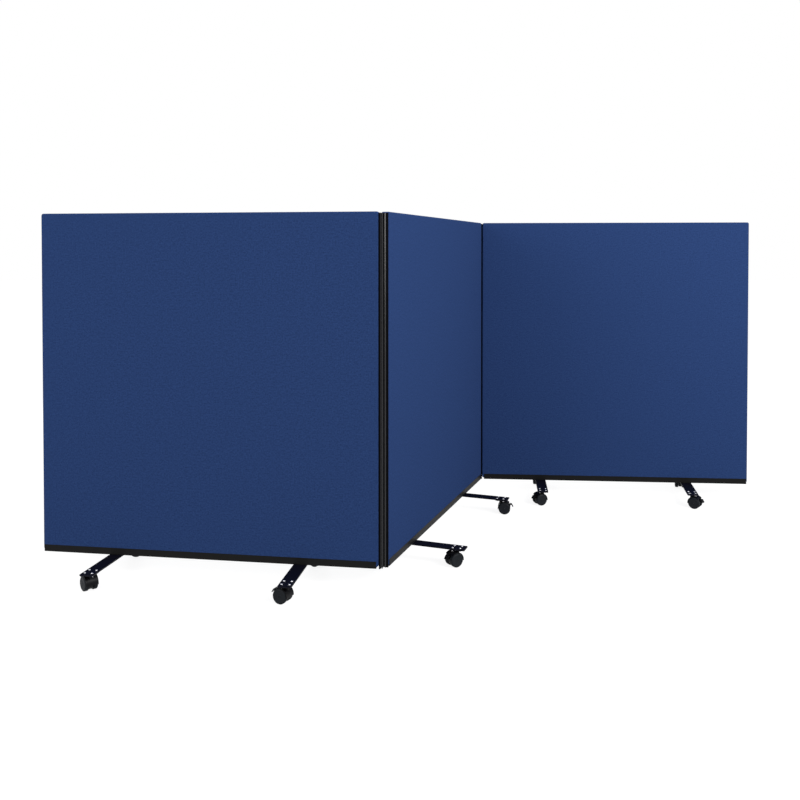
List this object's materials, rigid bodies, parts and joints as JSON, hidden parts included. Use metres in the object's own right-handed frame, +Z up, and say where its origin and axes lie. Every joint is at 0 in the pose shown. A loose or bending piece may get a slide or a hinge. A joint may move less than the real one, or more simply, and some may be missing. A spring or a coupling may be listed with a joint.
{
  "type": "mobile folding privacy screen",
  "caption": "Low folding privacy screen: fabric panels joined by full height knuckled hinges, on flat foot bars with twin wheel castors and foot brakes.",
  "frame": {"origin": "middle of the footprint, on the floor", "axes": "+X along the screen from its left end to its right end as seen from the front, +Y from the front to the back, +Z up"},
  "size_m": [2.8366, 1.5006, 1.255],
  "materials": {
    "fabric": "matte",
    "rail": "satin",
    "hinge": "satin",
    "pin": "satin",
    "bar": "satin",
    "zinc": "gloss",
    "castor": "satin",
    "wheel": "satin",
    "lever": "satin"
  },
  "bodies": {
    "left_panel": {"fabric_panel_left": "fabric", "bottom_rail_left": "rail", "hinge_stile_left": "hinge", "foot_bar_left_outer": "bar", "castor_plate_left_outer_front": "zinc", "castor_plate_left_outer_rear": "zinc", "foot_bar_left_inner": "bar", "castor_plate_left_inner_front": "zinc", "castor_plate_left_inner_rear": "zinc"},
    "middle_panel": {"fabric_panel_middle": "fabric", "bottom_rail_middle": "rail", "hinge_stile_middle_left": "hinge", "hinge_stile_middle_right": "hinge", "hinge_pin_left": "pin", "hinge_pin_right": "pin", "foot_bar_middle_left": "bar", "castor_plate_middle_left_front": "zinc", "castor_plate_middle_left_rear": "zinc", "foot_bar_middle_right": "bar", "castor_plate_middle_right_front": "zinc", "castor_plate_middle_right_rear": "zinc"},
    "right_panel": {"fabric_panel_right": "fabric", "bottom_rail_right": "rail", "hinge_stile_right": "hinge", "foot_bar_right_inner": "bar", "castor_plate_right_inner_front": "zinc", "castor_plate_right_inner_rear": "zinc", "foot_bar_right_outer": "bar", "castor_plate_right_outer_front": "zinc", "castor_plate_right_outer_rear": "zinc"},
    "castor_left_outer_front": {"castor_hood_left_outer_front": "castor"},
    "wheels_left_outer_front": {"castor_wheels_left_outer_front": "wheel"},
    "brake_left_outer": {"brake_lever_left_outer_front": "lever"},
    "castor_left_outer_rear": {"castor_hood_left_outer_rear": "castor"},
    "wheels_left_outer_rear": {"castor_wheels_left_outer_rear": "wheel"},
    "castor_left_inner_front": {"castor_hood_left_inner_front": "castor"},
    "wheels_left_inner_front": {"castor_wheels_left_inner_front": "wheel"},
    "brake_left_inner": {"brake_lever_left_inner_front": "lever"},
    "castor_left_inner_rear": {"castor_hood_left_inner_rear": "castor"},
    "wheels_left_inner_rear": {"castor_wheels_left_inner_rear": "wheel"},
    "castor_middle_left_front": {"castor_hood_middle_left_front": "castor"},
    "wheels_middle_left_front": {"castor_wheels_middle_left_front": "wheel"},
    "brake_middle_left": {"brake_lever_middle_left_front": "lever"},
    "castor_middle_left_rear": {"castor_hood_middle_left_rear": "castor"},
    "wheels_middle_left_rear": {"castor_wheels_middle_left_rear": "wheel"},
    "castor_middle_right_front": {"castor_hood_middle_right_front": "castor"},
    "wheels_middle_right_front": {"castor_wheels_middle_right_front": "wheel"},
    "brake_middle_right": {"brake_lever_middle_right_front": "lever"},
    "castor_middle_right_rear": {"castor_hood_middle_right_rear": "castor"},
    "wheels_middle_right_rear": {"castor_wheels_middle_right_rear": "wheel"},
    "castor_right_inner_front": {"castor_hood_right_inner_front": "castor"},
    "wheels_right_inner_front": {"castor_wheels_right_inner_front": "wheel"},
    "brake_right_inner": {"brake_lever_right_inner_front": "lever"},
    "castor_right_inner_rear": {"castor_hood_right_inner_rear": "castor"},
    "wheels_right_inner_rear": {"castor_wheels_right_inner_rear": "wheel"},
    "castor_right_outer_front": {"castor_hood_right_outer_front": "castor"},
    "wheels_right_outer_front": {"castor_wheels_right_outer_front": "wheel"},
    "brake_right_outer": {"brake_lever_right_outer_front": "lever"},
    "castor_right_outer_rear": {"castor_hood_right_outer_rear": "castor"},
    "wheels_right_outer_rear": {"castor_wheels_right_outer_rear": "wheel"}
  },
  "joints": [
    {"name": "fold_left", "type": "hinge", "parent": "middle_panel", "child": "left_panel", "pos_m": [-0.2201, -0.57928, 0.655], "axis": [0, 0, 1], "range_deg": [-11.8, 78.2]},
    {"name": "fold_right", "type": "hinge", "parent": "middle_panel", "child": "right_panel", "pos_m": [0.21174, 0.55966, 0.655], "axis": [0, 0, 1], "range_deg": [-15.8, 74.2]},
    {"name": "swivel_left_outer_front", "type": "hinge", "parent": "left_panel", "child": "castor_left_outer_front", "pos_m": [-1.18262, -0.61793, 0.05], "axis": [0, 0, 1], "continuous": true},
    {"name": "roll_left_outer_front", "type": "hinge", "parent": "castor_left_outer_front", "child": "wheels_left_outer_front", "pos_m": [-1.19248, -0.60662, 0.025], "axis": [0.7536, 0.6574, 0], "continuous": true},
    {"name": "brake_left_outer", "type": "hinge", "parent": "castor_left_outer_front", "child": "brake_left_outer", "pos_m": [-1.20187, -0.59585, 0.03325], "axis": [0.7536, 0.6574, 0], "range_deg": [-18, 0]},
    {"name": "swivel_left_outer_rear", "type": "hinge", "parent": "left_panel", "child": "castor_left_outer_rear", "pos_m": [-1.11719, -0.27817, 0.05], "axis": [0, 0, 1], "continuous": true},
    {"name": "roll_left_outer_rear", "type": "hinge", "parent": "castor_left_outer_rear", "child": "wheels_left_outer_rear", "pos_m": [-1.13217, -0.27898, 0.025], "axis": [-0.0541, 0.9985, 0], "continuous": true},
    {"name": "swivel_left_inner_front", "type": "hinge", "parent": "left_panel", "child": "castor_left_inner_front", "pos_m": [-0.52226, -0.71561, 0.05], "axis": [0, 0, 1], "continuous": true},
    {"name": "roll_left_inner_front", "type": "hinge", "parent": "castor_left_inner_front", "child": "wheels_left_inner_front", "pos_m": [-0.53581, -0.70917, 0.025], "axis": [0.4289, 0.9033, 0], "continuous": true},
    {"name": "brake_left_inner", "type": "hinge", "parent": "castor_left_inner_front", "child": "brake_left_inner", "pos_m": [-0.54871, -0.70304, 0.03325], "axis": [0.4289, 0.9033, 0], "range_deg": [-18, 0]},
    {"name": "swivel_left_inner_rear", "type": "hinge", "parent": "left_panel", "child": "castor_left_inner_rear", "pos_m": [-0.47171, -0.37332, 0.05], "axis": [0, 0, 1], "continuous": true},
    {"name": "roll_left_inner_rear", "type": "hinge", "parent": "castor_left_inner_rear", "child": "wheels_left_inner_rear", "pos_m": [-0.45877, -0.38091, 0.025], "axis": [-0.506, -0.8625, 0], "continuous": true},
    {"name": "swivel_middle_left_front", "type": "hinge", "parent": "middle_panel", "child": "castor_middle_left_front", "pos_m": [0.04423, -0.37925, 0.05], "axis": [0, 0, 1], "continuous": true},
    {"name": "roll_middle_left_front", "type": "hinge", "parent": "castor_middle_left_front", "child": "wheels_middle_left_front", "pos_m": [0.03162, -0.38738, 0.025], "axis": [-0.5417, 0.8406, 0], "continuous": true},
    {"name": "brake_middle_left", "type": "hinge", "parent": "castor_middle_left_front", "child": "brake_middle_left", "pos_m": [0.01961, -0.39512, 0.03325], "axis": [-0.5417, 0.8406, 0], "range_deg": [-18, 0]},
    {"name": "swivel_middle_left_rear", "type": "hinge", "parent": "middle_panel", "child": "castor_middle_left_rear", "pos_m": [-0.28049, -0.25978, 0.05], "axis": [0, 0, 1], "continuous": true},
    {"name": "roll_middle_left_rear", "type": "hinge", "parent": "castor_middle_left_rear", "child": "wheels_middle_left_rear", "pos_m": [-0.27317, -0.24668, 0.025], "axis": [0.8729, -0.4879, 0], "continuous": true},
    {"name": "swivel_middle_right_front", "type": "hinge", "parent": "middle_panel", "child": "castor_middle_right_front", "pos_m": [0.27213, 0.24015, 0.05], "axis": [0, 0, 1], "continuous": true},
    {"name": "roll_middle_right_front", "type": "hinge", "parent": "castor_middle_right_front", "child": "wheels_middle_right_front", "pos_m": [0.28697, 0.23801, 0.025], "axis": [-0.1426, -0.9898, 0], "continuous": true},
    {"name": "brake_middle_right", "type": "hinge", "parent": "castor_middle_right_front", "child": "brake_middle_right", "pos_m": [0.30112, 0.23598, 0.03325], "axis": [-0.1426, -0.9898, 0], "range_deg": [-18, 0]},
    {"name": "swivel_middle_right_rear", "type": "hinge", "parent": "middle_panel", "child": "castor_middle_right_rear", "pos_m": [-0.05259, 0.35963, 0.05], "axis": [0, 0, 1], "continuous": true},
    {"name": "roll_middle_right_rear", "type": "hinge", "parent": "castor_middle_right_rear", "child": "wheels_middle_right_rear", "pos_m": [-0.06247, 0.34834, 0.025], "axis": [-0.7524, 0.6587, 0], "continuous": true},
    {"name": "swivel_right_inner_front", "type": "hinge", "parent": "right_panel", "child": "castor_right_inner_front", "pos_m": [0.47259, 0.37215, 0.05], "axis": [0, 0, 1], "continuous": true},
    {"name": "roll_right_inner_front", "type": "hinge", "parent": "castor_right_inner_front", "child": "wheels_right_inner_front", "pos_m": [0.45869, 0.36651, 0.025], "axis": [-0.3762, 0.9265, 0], "continuous": true},
    {"name": "brake_right_inner", "type": "hinge", "parent": "castor_right_inner_front", "child": "brake_right_inner", "pos_m": [0.44545, 0.36113, 0.03325], "axis": [-0.3762, 0.9265, 0], "range_deg": [-18, 0]},
    {"name": "swivel_right_inner_rear", "type": "hinge", "parent": "right_panel", "child": "castor_right_inner_rear", "pos_m": [0.50816, 0.71632, 0.05], "axis": [0, 0, 1], "continuous": true},
    {"name": "roll_right_inner_rear", "type": "hinge", "parent": "castor_right_inner_rear", "child": "wheels_right_inner_rear", "pos_m": [0.50455, 0.70176, 0.025], "axis": [-0.9707, 0.2402, 0], "continuous": true},
    {"name": "swivel_right_outer_front", "type": "hinge", "parent": "right_panel", "child": "castor_right_outer_front", "pos_m": [1.12017, 0.32292, 0.05], "axis": [0, 0, 1], "continuous": true},
    {"name": "roll_right_outer_front", "type": "hinge", "parent": "castor_right_outer_front", "child": "wheels_right_outer_front", "pos_m": [1.13201, 0.31371, 0.025], "axis": [-0.6143, -0.7891, 0], "continuous": true},
    {"name": "brake_right_outer", "type": "hinge", "parent": "castor_right_outer_front", "child": "brake_right_outer", "pos_m": [1.14328, 0.30493, 0.03325], "axis": [-0.6143, -0.7891, 0], "range_deg": [-18, 0]},
    {"name": "swivel_right_outer_rear", "type": "hinge", "parent": "right_panel", "child": "castor_right_outer_rear", "pos_m": [1.17668, 0.66428, 0.05], "axis": [0, 0, 1], "continuous": true},
    {"name": "roll_right_outer_rear", "type": "hinge", "parent": "castor_right_outer_rear", "child": "wheels_right_outer_rear", "pos_m": [1.17295, 0.64975, 0.025], "axis": [-0.9686, 0.2487, 0], "continuous": true}
  ]
}
